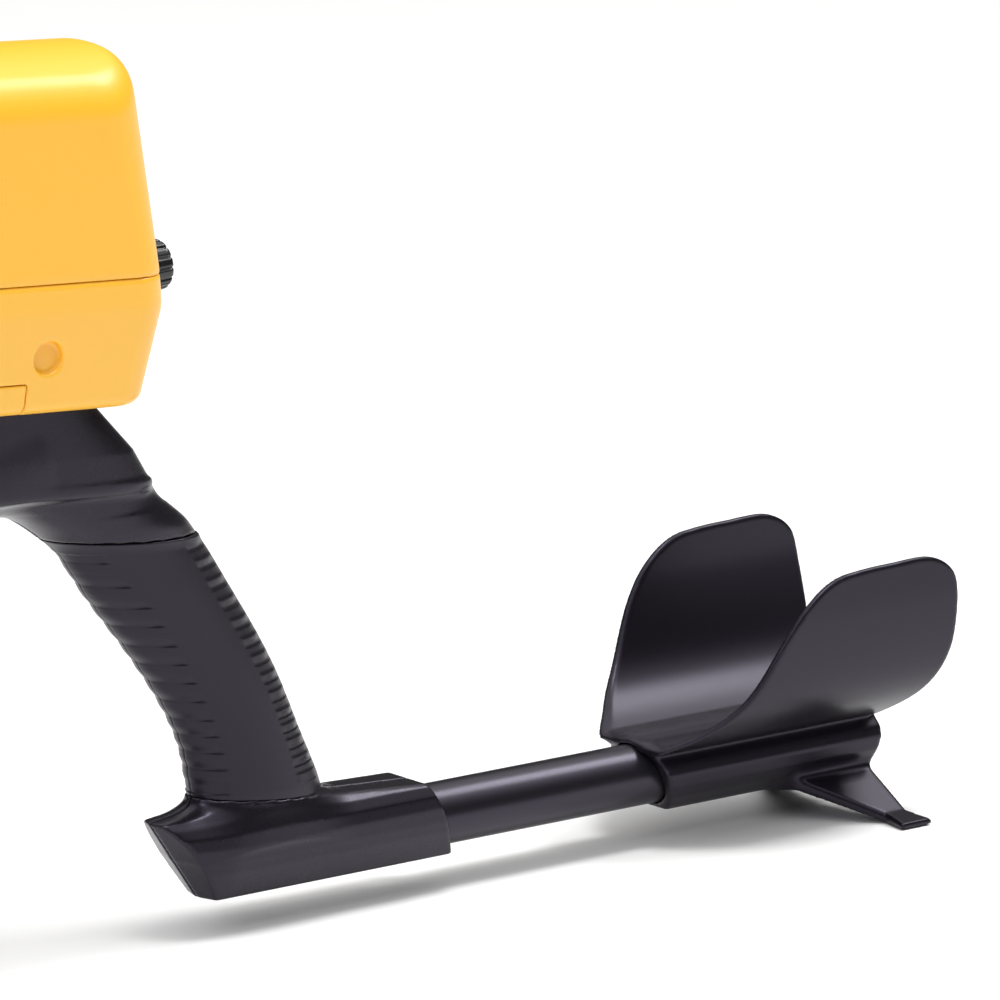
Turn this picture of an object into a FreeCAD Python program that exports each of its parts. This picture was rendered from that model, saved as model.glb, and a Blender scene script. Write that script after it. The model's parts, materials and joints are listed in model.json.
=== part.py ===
import FreeCAD, Part
import math
import os

# Hand-held metal detector: S-shaped handle with a control box on top, an arm tube and cuff behind,
# and a telescopic stem with a tilting search coil in front. It stands on its coil and two cuff legs.
#
# Solids are drawn in the tube frame: the origin is on the arm tube's axis above the rear corner of
# the handle base, +X runs rearward along the tube, and +Z is up. save() moves them to the part's
# frame, whose origin is on the floor below the middle of the whole length.

V = FreeCAD.Vector
Y_AXIS = V(0, 1, 0)

# ---- driving dimensions, mm ----
TUBE_R = 11.0                # arm tube and upper stem, outside
TUBE_WALL = 1.3
FLOOR_DROP = 24.7            # from the arm tube's axis down to the floor
FIT = 0.05                   # radial clearance of a running fit
GAP = 0.3                    # clearance between parts that move past each other
WALL = 2.5                   # moulded shells

TUBE_FRONT_X = -70.0         # arm tube, inside the base
TUBE_REAR_X = 194.0          # arm tube, inside the cuff's sleeve

GRIP_SKIN = 2.4              # grip sleeve thickness
GRIP_RING_LOW = 20.5         # mean height of the lower ring seam
GRIP_RING_TOP = 116.5        # mean height of the upper ring seam

STEM_PITCH = 14.3            # degrees that the stem falls going forward
STEM_START = V(-170, 0, 147)
COIL_R = 100.0
PIVOT_HEIGHT = 39.1          # coil bolt's axis above the floor
COIL_X = STEM_START.x - (STEM_START.z + FLOOR_DROP - PIVOT_HEIGHT) / math.tan(math.radians(STEM_PITCH))
CUFF_REAR_X = 211.0

BOX_PITCH = 3.3              # degrees that the control box falls going rearward
BOX_CORNER = V(-129, 0, 167)
PANEL_LEAN = 6.2             # degrees that the control panel leans forward of the box's upright
FRONT_LEAN = 13.6            # degrees that the box's front wall leans rearward
SEAM_Z = 42.2                # shell seam above the box's bottom
KNOB_HEIGHT = 40.7           # row of knobs above the box's bottom

MID_X = (COIL_X - COIL_R + CUFF_REAR_X) / 2
TO_PART_FRAME = V(-MID_X, 0, FLOOR_DROP)

BOX_FRAME = FreeCAD.Placement(BOX_CORNER, FreeCAD.Rotation(Y_AXIS, BOX_PITCH))
PANEL_FRAME = BOX_FRAME.multiply(
    FreeCAD.Placement(V(3.5, 0, KNOB_HEIGHT), FreeCAD.Rotation(Y_AXIS, -PANEL_LEAN)))
FRONT_FRAME = BOX_FRAME.multiply(
    FreeCAD.Placement(V(-117.1, 0, 78), FreeCAD.Rotation(Y_AXIS, -180 + FRONT_LEAN)))
STEM_FRAME = FreeCAD.Placement(STEM_START, FreeCAD.Rotation(Y_AXIS, 180 - STEM_PITCH))
COIL_FRAME = FreeCAD.Placement(V(COIL_X, 0, -FLOOR_DROP), FreeCAD.Rotation())


# ---- helpers ----

def save(name, shape):
    """Move a shape to the part's frame and write it as parts/name.step."""
    moved = shape.copy()
    moved.translate(TO_PART_FRAME)
    moved.exportStep("parts/" + name + ".step")


def placed(shape, frame):
    """A copy of a shape drawn in a local frame, moved to the tube frame."""
    moved = shape.copy()
    moved.Placement = frame.multiply(moved.Placement)
    return moved


def rod(radius, start, end):
    """Solid cylinder between two points."""
    axis = end - start
    return Part.makeCylinder(radius, axis.Length, start, axis)


def pipe(outer, inner, start, end):
    """Tube between two points."""
    return rod(outer, start, end).cut(rod(inner, start, end))


def block(low, high):
    """Box between two corners, each an (x, y, z) tuple."""
    size = [b - a for a, b in zip(low, high)]
    return Part.makeBox(size[0], size[1], size[2], V(*low))


def prism_y(outline, half_width):
    """Closed outline of (x, z) points, extruded evenly about the middle plane."""
    points = [V(x, -half_width, z) for x, z in outline]
    face = Part.Face(Part.makePolygon(points + points[:1]))
    return face.extrude(V(0, 2 * half_width, 0))


def prism_x(outline, start, end):
    """Closed outline of (y, z) points, extruded along X."""
    points = [V(start, y, z) for y, z in outline]
    face = Part.Face(Part.makePolygon(points + points[:1]))
    return face.extrude(V(end - start, 0, 0))


def oval(centre_x, height, half_x, half_y, power=2.0, tilt=0.0):
    """Closed smooth curve at a height, an ellipse for power 2 and squarer above it."""
    points = []
    for step in range(24):
        angle = 2 * math.pi * step / 24
        c = math.cos(angle)
        s = math.sin(angle)
        x = half_x * math.copysign(abs(c) ** (2 / power), c)
        y = half_y * math.copysign(abs(s) ** (2 / power), s)
        points.append(V(centre_x + x, y, height - x * math.tan(math.radians(tilt))))
    curve = Part.BSplineCurve()
    curve.interpolate(points, PeriodicFlag=True)
    return Part.Wire([curve.toShape()])


def screw(head, direction, length, head_r=3.0, shank_r=1.5, head_h=2.0):
    """Screw whose head's outer face is at a point and whose shank runs along a direction."""
    along = V(direction).normalize()
    shank = rod(shank_r, head, head + along * length)
    return shank.fuse(rod(head_r, head, head + along * head_h))


# ---- handle: base, grip, neck and box platform ----

# Horizontal sections of the grip: height, centre x, half length, half width.
GRIP_SECTIONS = [
    (6, -64.0, 28.5, 14.2),
    (23, -66.5, 25.8, 14.6),
    (40, -71.9, 23.4, 14.9),
    (60, -81.6, 24.2, 15.2),
    (80, -94.5, 25.9, 15.5),
    (100, -108.7, 27.2, 15.8),
    (118, -122.6, 27.6, 16.2),
    (128, -135.0, 28.6, 17.2),
]


def keel_section(top, crown, shoulder, bottom_y, bottom):
    """Egg-shaped cross-section of (y, z) points: crown arc, shoulders, and a narrow flat bottom."""
    half = []
    for step in range(7):
        angle = math.radians(90 - 15 * step)
        half.append((shoulder * math.cos(angle), crown + (top - crown) * math.sin(angle)))
    half.append((shoulder * 0.85, crown - 9))
    half.append((bottom_y, bottom))
    return [(-y, z) for y, z in reversed(half[1:])] + half


def base_solid():
    """Lower socket: a keel with a slanted prow and a slanted rear face."""
    keel = prism_x(keel_section(14.7 + 3.2, 5.7, 15.0, 8.2, -12.7), -112, 16)
    outline = [(-106.5, 15.8), (-107.0, 13.9), (-99.4, 1), (-89, -12.7), (13, -12.7), (0, 14.7),
               (-17, 15.6), (-30, 16.4), (-96, 17.9)]
    prow = prism_y([(-125, 20), (-107.4, 13.9), (-99.4, 1), (-89, -13), (-125, -13)], 30)
    solid = keel.common(prism_y(outline, 30))
    for side in (-1, 1):
        swept = prow.copy()
        swept.rotate(V(-99, 0, 0), V(0, 0, 1), side * 15)
        solid = solid.cut(swept)
    return solid


def grip_solid(inset, low, high):
    """Loft of the grip's sections, shrunk by an inset, between two heights."""
    wires = [oval(x, z, a - inset, b - inset) for z, x, a, b in GRIP_SECTIONS]
    loft = Part.makeLoft(wires, True, False)
    return loft.common(block((-220, -40, low), (20, 40, high)))


def ring_cut(solid, low, high):
    """Keep a solid between the two ring seams, which lean with the box's pitch."""
    lower = [(-200, low + 9), (20, low - 9), (20, -60), (-200, -60)]
    upper = [(-200, high + 4), (20, high - 6), (20, 260), (-200, 260)]
    return solid.cut(prism_y(lower, 60)).cut(prism_y(upper, 60))


def neck_solid():
    """Neck that widens from the grip's top into the platform under the control box."""
    wires = [
        oval(-120.6, 115.5, 29.3, 17.4),
        oval(-128.5, 124, 28.5, 18.0, 2.2),
        oval(-139.5, 132, 30.5, 18.4, 2.6, BOX_PITCH),
        oval(-148.5, 140, 34.0, 19.0, 3.2, BOX_PITCH),
    ]
    return Part.makeLoft(wires, True, False)


def platform_solid():
    """Block that the control box stands on, with a sloped, rounded rear over a small lip."""
    wires = [
        oval(-167.0, 138.5, 51.0, 20.0, 4.0, BOX_PITCH),
        oval(-168.0, 143.5, 51.5, 20.4, 4.0, BOX_PITCH),
        oval(-177.0, 169.5, 38.0, 19.6, 4.0, BOX_PITCH),
    ]
    loft = Part.makeLoft(wires, True, True)
    return loft.common(placed(block((-120, -40, -60), (40, 40, BOX_BOTTOM)), BOX_FRAME))


def nose_solid():
    """Round socket for the upper stem."""
    return placed(rod(16.5, V(-6, 0, 0), V(83, 0, 0)), STEM_FRAME)


HANDLE_SCREW_SPOTS = [(-86, 1), (-77, 52), (-106, 96), (-150, 152)]


def handle_screw_set():
    """Screws that close the two halves, all driven from the +Y side."""
    heads = [14.0, 12.0, 12.6, 19.4]
    spots = zip(HANDLE_SCREW_SPOTS, heads)
    return [screw(V(x, head_y, z), V(0, -1, 0), head_y + 9) for (x, z), head_y in spots]


def make_handle():
    """Left and right halves, their sleeve and their screws."""
    grip = grip_solid(0, 8, 127)
    solid = base_solid().fuse([grip, neck_solid(), platform_solid(), nose_solid()])
    sleeve_outer = ring_cut(grip_solid(0, 0, 130), GRIP_RING_LOW, GRIP_RING_TOP)
    sleeve = sleeve_outer.cut(grip_solid(GRIP_SKIN, 0, 130))
    solid = solid.cut(sleeve)

    hollow = grip_solid(GRIP_SKIN + 3, 20, 126)
    pocket = prism_y([(-128, 144), (-147, 163.5), (-170, 164.8), (-170, 144)], 17)
    bosses = [rod(4.2, V(x, -18, z), V(x, 18, z)) for x, z in HANDLE_SCREW_SPOTS[1:]]
    solid = solid.cut(hollow.fuse(pocket).cut(Part.makeCompound(bosses)))

    tube_socket = rod(TUBE_R, V(TUBE_FRONT_X, 0, 0), V(30, 0, 0))
    stem_socket = placed(rod(TUBE_R, V(15, 0, 0), V(90, 0, 0)), STEM_FRAME)
    solid = solid.cut(tube_socket.fuse(stem_socket))

    screws = handle_screw_set()
    solid = solid.cut(screws + tube_screws() + platform_screws())
    left = solid.common(block((-280, -40, -20), (40, 0, 190)))
    right = solid.common(block((-280, 0, -20), (40, 40, 190)))
    save("handle_left", left)
    save("handle_right", right)
    save("grip_sleeve", sleeve)
    save("handle_screws", Part.makeCompound(screws))


# ---- tubes and the screws that lock them ----

def tube_screws():
    """Screws through the arm tube's base and the upper stem's socket."""
    lower = screw(V(-36, 0, -12.7), V(0, 0, 1), 8, 3.2, 1.6, 1.5)
    upper = placed(screw(V(50, 16.5, 0), V(0, -1, 0), 9, 3.2, 1.6, 3.0), STEM_FRAME)
    return [lower, upper]


def cuff_screw():
    """Screw that fixes the cuff's sleeve to the arm tube, from below."""
    return screw(V(134, 0, -12.8), V(0, 0, 1), 8, 3.2, 1.6, 1.5)


def make_tubes():
    """Arm tube, and the stem's two telescoping tubes."""
    lower_screw, upper_screw = tube_screws()
    arm = pipe(TUBE_R, TUBE_R - TUBE_WALL, V(TUBE_FRONT_X, 0, 0), V(TUBE_REAR_X, 0, 0))
    save("arm_tube", arm.cut([lower_screw, cuff_screw()]))
    save("tube_screw", lower_screw)
    save("cuff_screw", cuff_screw())
    upper = placed(pipe(TUBE_R, TUBE_R - TUBE_WALL, V(15, 0, 0), V(UPPER_STEM_END, 0, 0)), STEM_FRAME)
    save("upper_stem", upper.cut(upper_screw))
    save("stem_screw", upper_screw)
    lower = pipe(LOWER_STEM_R, LOWER_STEM_R - 1.2, V(60, 0, 0), V(LOWER_STEM_END, 0, 0))
    save("lower_stem", placed(lower, STEM_FRAME))


# ---- arm cuff: one moulding of U-shaped rest, tube sleeve and two splayed legs ----

CUFF_WALL = 2.8
# Middle line of the cuff's wall, from the floor's edge to the lip: (y, z).
CUFF_LINE = [(15.5, 11.2), (26, 17.6), (36.4, 30), (42.2, 50), (43.7, 62), (44.2, 74)]
# Side outline of the cuff: (x, z).
CUFF_OUTLINE = [(97, 9), (98, 11.5), (108, 18), (120, 30), (131.5, 50), (141, 62), (152.5, 69.5),
                (166, 71.5), (180, 72), (192, 72.3), (199, 71), (205, 67.7), (208.6, 63), (210.2, 55),
                (CUFF_REAR_X, 45), (CUFF_REAR_X, 37.5), (209.2, 29), (205.4, 20), (200, 12.6), (196, 8)]


def cuff_side(offset):
    """Smooth curve beside the wall's middle line, offset outward."""
    points = []
    for i, (y, z) in enumerate(CUFF_LINE):
        before = CUFF_LINE[max(i - 1, 0)]
        after = CUFF_LINE[min(i + 1, len(CUFF_LINE) - 1)]
        along = V(0, after[0] - before[0], after[1] - before[1]).normalize()
        if i == 0:
            along = V(0, 1, 0)
        points.append(V(90, y + along.z * offset, z - along.y * offset))
    return points


def cuff_shell():
    """U-shaped wall trimmed to its side outline."""
    half = CUFF_WALL / 2
    edges = []
    rims = []
    for offset in (-half, half):
        right = cuff_side(offset)
        left = [V(p.x, -p.y, p.z) for p in right]
        for side in (right, left):
            curve = Part.BSplineCurve()
            curve.interpolate(side)
            edges.append(curve.toShape())
        edges.append(Part.LineSegment(right[0], left[0]).toShape())
        rims.append((right[-1], left[-1]))
    edges.append(Part.LineSegment(rims[0][0], rims[1][0]).toShape())
    edges.append(Part.LineSegment(rims[0][1], rims[1][1]).toShape())
    wire = Part.Wire(Part.__sortEdges__(edges))
    wall = Part.Face(wire).extrude(V(125, 0, 0))
    return wall.common(prism_y(CUFF_OUTLINE, 60))


def cuff_leg(side):
    """One splayed leg, drawn a little past the floor so that its foot can be cut flat."""
    sections = [
        (5, 160, 197, -12.5, -6.0),
        (12, 163, 197, -13.5, -9.0),
        (34, 186, 196, -24.75, -20.8),
        (45, 184, 198, -24.75, -22.5),
    ]
    wires = []
    for y, x0, x1, z0, z1 in sections:
        corners = [V(x0, side * y, z0), V(x1, side * y, z0), V(x1, side * y, z1), V(x0, side * y, z1)]
        wires.append(Part.makePolygon(corners + corners[:1]))
    return Part.makeLoft(wires, True, True)


def make_cuff():
    """Cuff, sleeve and legs as one moulding, bored for the arm tube."""
    sleeve = prism_x(keel_section(12.6, 3, 16.4, 6.8, -12.8), 90, 202)
    ends = prism_y([(97.4, 13), (108, -13), (195.5, -13), (199, -6), (200, 4), (200, 13)], 30)
    moulding = sleeve.common(ends).fuse([cuff_shell(), cuff_leg(-1), cuff_leg(1)])
    below_floor = block((90, -60, -FLOOR_DROP - 20), (220, 60, -FLOOR_DROP))
    moulding = moulding.cut([rod(TUBE_R, V(80, 0, 0), V(TUBE_REAR_X + 0.5, 0, 0)), below_floor])
    save("arm_cuff", moulding.cut(cuff_screw()).removeSplitter())


# ---- control box ----

DOOR_REAR = -53.0            # battery door's edges in the box's frame
DOOR_FRONT = -102.5
DOOR_TOP = 9.6
DOOR_INNER_Y = 5.0
POST_SPOTS = [(-23.5, -26.0), (-23.5, 26.0), (-109.0, -22.0), (-109.0, 22.0)]
BOX_BOTTOM = -1.0
BOX_TOP = 115.1
TOP_CROWN_R = 64.0           # radius of the crowned top, seen from behind
TOP_ROUND = 8.0              # rounding of the box's top edges
BOTTOM_ROUND = 4.5
# Outline of the box by height above its bottom: rear x, front x, half width and corner radius.
BOX_REAR = [(-1, -0.6), (32, 4.6), (44, 3.1), (116, -4.8)]
BOX_FRONT = [(-1, -117), (32, -127), (44, -125.4), (116, -108.1)]
BOX_HALF_Y = [(-1, 33), (33, 37.5), (44, 37.5), (116, 35.2)]
BOX_CORNER_R = [(-1, 13.8), (44, 14.8), (116, 28.0)]
SIDE_RECESS = V(-45.5, 0, 18.1)
RECESS_R = 5.5


def along(points, height):
    """Value at a height on a list of (height, value) points joined by straight lines."""
    for (z0, v0), (z1, v1) in zip(points, points[1:]):
        if height <= z1:
            return v0 + (v1 - v0) * (height - z0) / (z1 - z0)
    return points[-1][1]


def box_ring(height, inset, shrink):
    """Rounded rectangle round the control box at a height."""
    rear = along(BOX_REAR, height) - inset - shrink
    front = along(BOX_FRONT, height) + inset + shrink
    half = along(BOX_HALF_Y, height) - inset - shrink
    r = max(along(BOX_CORNER_R, height) - inset - shrink, 3.0)
    k = r * (1 - math.sqrt(0.5))
    corners = []
    for sx, x in ((1, rear), (-1, front)):
        for sy in (1, -1):
            corners.append((x, sy * half, -sx * r, -sy * r, -sx * k, -sy * k))
    order = [corners[0], corners[2], corners[3], corners[1]]
    edges = []
    last = None
    for i, (x, y, dx, dy, kx, ky) in enumerate(order):
        on_x_side = V(x, y + dy, height)
        on_y_side = V(x + dx, y, height)
        start, end = (on_x_side, on_y_side) if i in (0, 2) else (on_y_side, on_x_side)
        if last is not None:
            edges.append(Part.LineSegment(last, start).toShape())
        edges.append(Part.Arc(start, V(x + kx, y + ky, height), end).toShape())
        last = end
    edges.append(Part.LineSegment(last, V(order[0][0], order[0][1] + order[0][3], height)).toShape())
    return Part.Wire(edges)


def box_block(inset):
    """The control box's outer form, or the form inside its walls."""
    rings = [(BOX_BOTTOM + inset, BOTTOM_ROUND * 0.8 * (1 - inset / 5)),
             (BOX_BOTTOM + inset + 1.4, BOTTOM_ROUND * 0.2 * (1 - inset / 5)),
             (BOX_BOTTOM + inset + BOTTOM_ROUND, 0), (33, 0), (44, 0)]
    for step in range(5):
        angle = math.radians(22.5 * step)
        radius = TOP_ROUND - inset
        rings.append((BOX_TOP - TOP_ROUND + radius * math.sin(angle), radius * (1 - math.cos(angle))))
    loft = Part.makeLoft([box_ring(z, inset, shrink) for z, shrink in rings], True, True)
    crown_z = BOX_TOP - TOP_CROWN_R
    return loft.common(rod(TOP_CROWN_R - inset, V(-140, 0, crown_z), V(20, 0, crown_z)))


def door_cut(side, grow):
    """Corner block that a battery door fills, grown by a gap all round."""
    low_y = DOOR_INNER_Y - grow
    low = (DOOR_FRONT - grow, low_y, -5)
    high = (DOOR_REAR + grow, 45, DOOR_TOP + grow)
    corner = block(low, high)
    if side < 0:
        corner = corner.mirror(V(0, 0, 0), V(0, 1, 0))
    return corner


def panel_block(low, high):
    """Block in the control panel's frame, moved to the box's frame."""
    local = BOX_FRAME.inverse().multiply(PANEL_FRAME)
    return placed(block(low, high), local)


def housing_screw_set():
    """Screws from below that hold the two shells together, in the box's frame."""
    return [screw(V(x, y, BOX_BOTTOM), V(0, 0, 1), 52, 2.8, 1.5, 2.2) for x, y in POST_SPOTS]


def platform_screws():
    """Screws that hold the box down on the handle's platform, from inside the box."""
    spots = [(x, y) for x in (-27, -43) for y in (-12, 12)]
    head_z = BOX_BOTTOM + WALL + 2.2
    return [placed(screw(V(x, y, head_z), V(0, 0, -1), 14, 3.2, 1.6, 2.2), BOX_FRAME) for x, y in spots]


def make_housing():
    """Upper and lower shells, and the sliding corner doors."""
    outer = box_block(0)
    shell = outer.cut(box_block(WALL))
    opening = panel_block((-9, -PANEL_HALF_Y + 1, PANEL_LOW + 1), (20, PANEL_HALF_Y - 1, PANEL_HIGH - 1))
    shell = shell.cut(opening)

    screws = housing_screw_set()
    posts = []
    for x, y in POST_SPOTS:
        posts.append(rod(3.8, V(x, y, 0), V(x, y, 56)))
        wall_y = math.copysign(38, y)
        posts.append(block((x - 1, min(y, wall_y), 0), (x + 1, max(y, wall_y), 56)))
    recess_bosses = [rod(RECESS_R + 2, V(SIDE_RECESS.x, s * 30, SIDE_RECESS.z),
                         V(SIDE_RECESS.x, s * 36.5, SIDE_RECESS.z)) for s in (-1, 1)]
    shell = shell.fuse([piece.common(outer) for piece in posts + recess_bosses])
    for s in (-1, 1):
        start = V(SIDE_RECESS.x, s * 33.0, SIDE_RECESS.z)
        shell = shell.cut(rod(RECESS_R, start, V(SIDE_RECESS.x, s * 45, SIDE_RECESS.z)))
    shell = shell.cut(screws)
    jack_hole = rod(JACK_BODY_R, V(SIDE_RECESS.x, 15, SIDE_RECESS.z), V(SIDE_RECESS.x, 40, SIDE_RECESS.z))
    socket_hole = placed(rod(SOCKET_R, V(-12, 0, 0), V(6, 0, 0)), SOCKET_LOCAL)
    shell = shell.cut([jack_hole, socket_hole])
    holes_below = [placed(s, BOX_FRAME.inverse()) for s in platform_screws()]
    shell = shell.cut(holes_below)
    shell = shell.cut(grille_slots())

    doors = shell.common([door_cut(1, 0), door_cut(-1, 0)])
    shell = shell.cut([door_cut(1, GAP), door_cut(-1, GAP)])
    lower = shell.common(block((-140, -50, -5), (20, 50, SEAM_Z)))
    upper = shell.common(block((-140, -50, SEAM_Z), (20, 50, 130)))
    save("housing_lower", placed(lower, BOX_FRAME))
    save("housing_upper", placed(upper, BOX_FRAME))
    for name, side in (("battery_door_left", -1), ("battery_door_right", 1)):
        door = doors.common(door_cut(side, 0.1))
        door = door.common(block((-140, -50, BOX_BOTTOM + GAP), (20, 50, 20)))
        save(name, placed(door, BOX_FRAME))
    save("housing_screws", placed(Part.makeCompound(screws), BOX_FRAME))
    save("platform_screws", Part.makeCompound(platform_screws()))


# ---- control panel, knobs and meter ----

PANEL_FACE = -6.0            # along the panel's outward direction from the rim
PANEL_HALF_Y = 25.0
PANEL_LOW = -11.2            # panel's edges, up from the row of knobs
PANEL_HIGH = 51.0
PANEL_T = 2.0
KNOB_Y = {"power": -13.0, "tune": 13.0}
KNOB_R = 9.15
KNOB_START = -4.8
KNOB_END = 11.0
SHAFT_R = 3.0
BUSH_R = 3.6
METER_UP = 32.5
METER_HALF_Y = 19.0
METER_HALF_UP = 13.5
METER_FRONT = -5.1           # outer face of the window and the case
NEEDLE_PIVOT_UP = METER_UP - 8.5
NEEDLE_LENGTH = 17.0
NEEDLE_REST = 42.0           # degrees from upright to the zero stop, toward -Y


def make_panel():
    """Inset rear panel with holes for the knobs and the meter."""
    back = PANEL_FACE - PANEL_T
    plate = block((back, -PANEL_HALF_Y, PANEL_LOW), (PANEL_FACE, PANEL_HALF_Y, PANEL_HIGH))
    plate = plate.cut([rod(BUSH_R, V(-10, y, 0), V(2, y, 0)) for y in KNOB_Y.values()])
    hole = block((-10, -METER_HALF_Y, METER_UP - METER_HALF_UP), (2, METER_HALF_Y, METER_UP + METER_HALF_UP))
    save("control_panel", placed(plate.cut(hole), PANEL_FRAME))


def knob_solid(y):
    """Fluted knob, hollow at its foot to clear the shaft's nut."""
    body = Part.makeCone(KNOB_R, KNOB_R - 0.9, KNOB_END - KNOB_START, V(KNOB_START, y, 0), V(1, 0, 0))
    flutes = []
    for step in range(12):
        angle = 2 * math.pi * step / 12
        flute_y = y + (KNOB_R + 0.5) * math.cos(angle)
        flute_z = (KNOB_R + 0.5) * math.sin(angle)
        flutes.append(rod(1.3, V(KNOB_START + 4, flute_y, flute_z), V(KNOB_END + 1, flute_y, flute_z)))
    body = body.cut(flutes)
    foot = rod(KNOB_R - 1.6, V(KNOB_START - 1, y, 0), V(KNOB_START + 3.2, y, 0))
    return body.cut([foot, rod(SHAFT_R, V(KNOB_START, y, 0), V(KNOB_END - 3, y, 0))])


def make_controls():
    """Knobs on their shafts, with the potentiometers behind the panel."""
    bodies = []
    nuts = []
    back = PANEL_FACE - PANEL_T
    for name, y in KNOB_Y.items():
        save("knob_" + name, placed(knob_solid(y), PANEL_FRAME))
        shaft = rod(SHAFT_R, V(back - 8, y, 0), V(KNOB_END - 3, y, 0))
        save("shaft_" + name, placed(shaft, PANEL_FRAME))
        can = rod(8.0, V(back - 10, y, 0), V(back, y, 0))
        can = can.fuse(rod(BUSH_R, V(back, y, 0), V(PANEL_FACE + 2.2, y, 0)))
        bore = rod(SHAFT_R + FIT, V(back - 8.3, y, 0), V(KNOB_END, y, 0))
        lugs = block((back - 8, y - 5, 7), (back - 6.8, y + 5, 12))
        bodies.append(can.fuse(lugs).cut(bore))
        hexagon = [(y + 5.2 * math.cos(math.radians(a)), 5.2 * math.sin(math.radians(a)))
                   for a in range(0, 360, 60)]
        nut = prism_x(hexagon, PANEL_FACE, PANEL_FACE + 1.8)
        nuts.append(nut.cut(rod(BUSH_R, V(back, y, 0), V(4, y, 0))))
    save("potentiometers", placed(Part.makeCompound(bodies), PANEL_FRAME))
    save("pot_nuts", placed(Part.makeCompound(nuts), PANEL_FRAME))


def make_meter():
    """Moving-coil meter: open case, dial, pivot, needle and window."""
    low = METER_UP - METER_HALF_UP
    high = METER_UP + METER_HALF_UP
    front = METER_FRONT
    case = block((front - 20, -METER_HALF_Y, low), (front, METER_HALF_Y, high))
    case = case.cut(block((front - 18.4, -METER_HALF_Y + 1.6, low + 1.6), (0, METER_HALF_Y - 1.6, high - 1.6)))
    save("meter_case", placed(case, PANEL_FRAME))
    inner_y = METER_HALF_Y - 1.6
    window = block((front - 1.5, -inner_y, low + 1.6), (front, inner_y, high - 1.6))
    save("meter_window", placed(window, PANEL_FRAME))
    dial = block((front - 7.4, -inner_y, low + 1.6), (front - 6.6, inner_y, high - 1.6))
    pivot_foot = rod(3.2, V(front - 18.4, 0, NEEDLE_PIVOT_UP), V(front - 5.4, 0, NEEDLE_PIVOT_UP))
    pin = rod(0.8, V(front - 5.4, 0, NEEDLE_PIVOT_UP), V(front - 2.6, 0, NEEDLE_PIVOT_UP))
    save("meter_dial", placed(dial.cut(pivot_foot), PANEL_FRAME))
    save("meter_pivot", placed(pivot_foot.fuse(pin), PANEL_FRAME))
    hub = rod(2.2, V(front - 5, 0, NEEDLE_PIVOT_UP), V(front - 3.6, 0, NEEDLE_PIVOT_UP))
    pointer = block((front - 4.6, -0.5, NEEDLE_PIVOT_UP), (front - 4, 0.5, NEEDLE_PIVOT_UP + NEEDLE_LENGTH))
    tail = block((front - 4.6, -0.9, NEEDLE_PIVOT_UP - 3), (front - 4, 0.9, NEEDLE_PIVOT_UP))
    needle = hub.fuse([pointer, tail])
    needle = needle.cut(rod(0.8 + FIT, V(front - 8, 0, NEEDLE_PIVOT_UP), V(front, 0, NEEDLE_PIVOT_UP)))
    needle.rotate(V(0, 0, NEEDLE_PIVOT_UP), V(1, 0, 0), NEEDLE_REST)
    save("meter_needle", placed(needle, PANEL_FRAME))


# ---- inside the control box ----

JACK_BODY_R = 4.9
JACK_BORE_R = 3.2            # 6.35 mm plug
SOCKET_R = 7.5
SOCKET_LOCAL = FreeCAD.Placement(V(-122.6, 0, 18), FreeCAD.Rotation(Y_AXIS, 180 - 16.0))


def grille_slots():
    """Slots in the front wall before the speaker, in the box's frame."""
    local = BOX_FRAME.inverse().multiply(FRONT_FRAME)
    slots = []
    for row in range(-3, 4):
        half = math.sqrt(17 ** 2 - (row * 5) ** 2)
        slots.append(placed(block((-6, -half, row * 5 - 0.9), (6, half, row * 5 + 0.9)), local))
    return slots


def make_speaker():
    """Round speaker behind the grille: frame, cone and magnet."""
    back = -4.4
    basket = Part.makeCone(19, 11, 12, V(back - 2, 0, 0), V(-1, 0, 0))
    basket = basket.cut(Part.makeCone(17.5, 9.5, 12, V(back - 2, 0, 0), V(-1, 0, 0)))
    frame = basket.fuse(pipe(21, 17.4, V(back - 2, 0, 0), V(back, 0, 0)))
    save("speaker_frame", placed(frame, FRONT_FRAME))
    save("speaker_magnet", placed(rod(13, V(back - 22, 0, 0), V(back - 14, 0, 0)), FRONT_FRAME))
    cone = Part.makeCone(16.6, 6, 9, V(back - 1, 0, 0), V(-1, 0, 0))
    cone = cone.cut(Part.makeCone(16, 5.4, 9, V(back - 0.3, 0, 0), V(-1, 0, 0)))
    save("speaker_cone", placed(cone, FRONT_FRAME))


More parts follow.
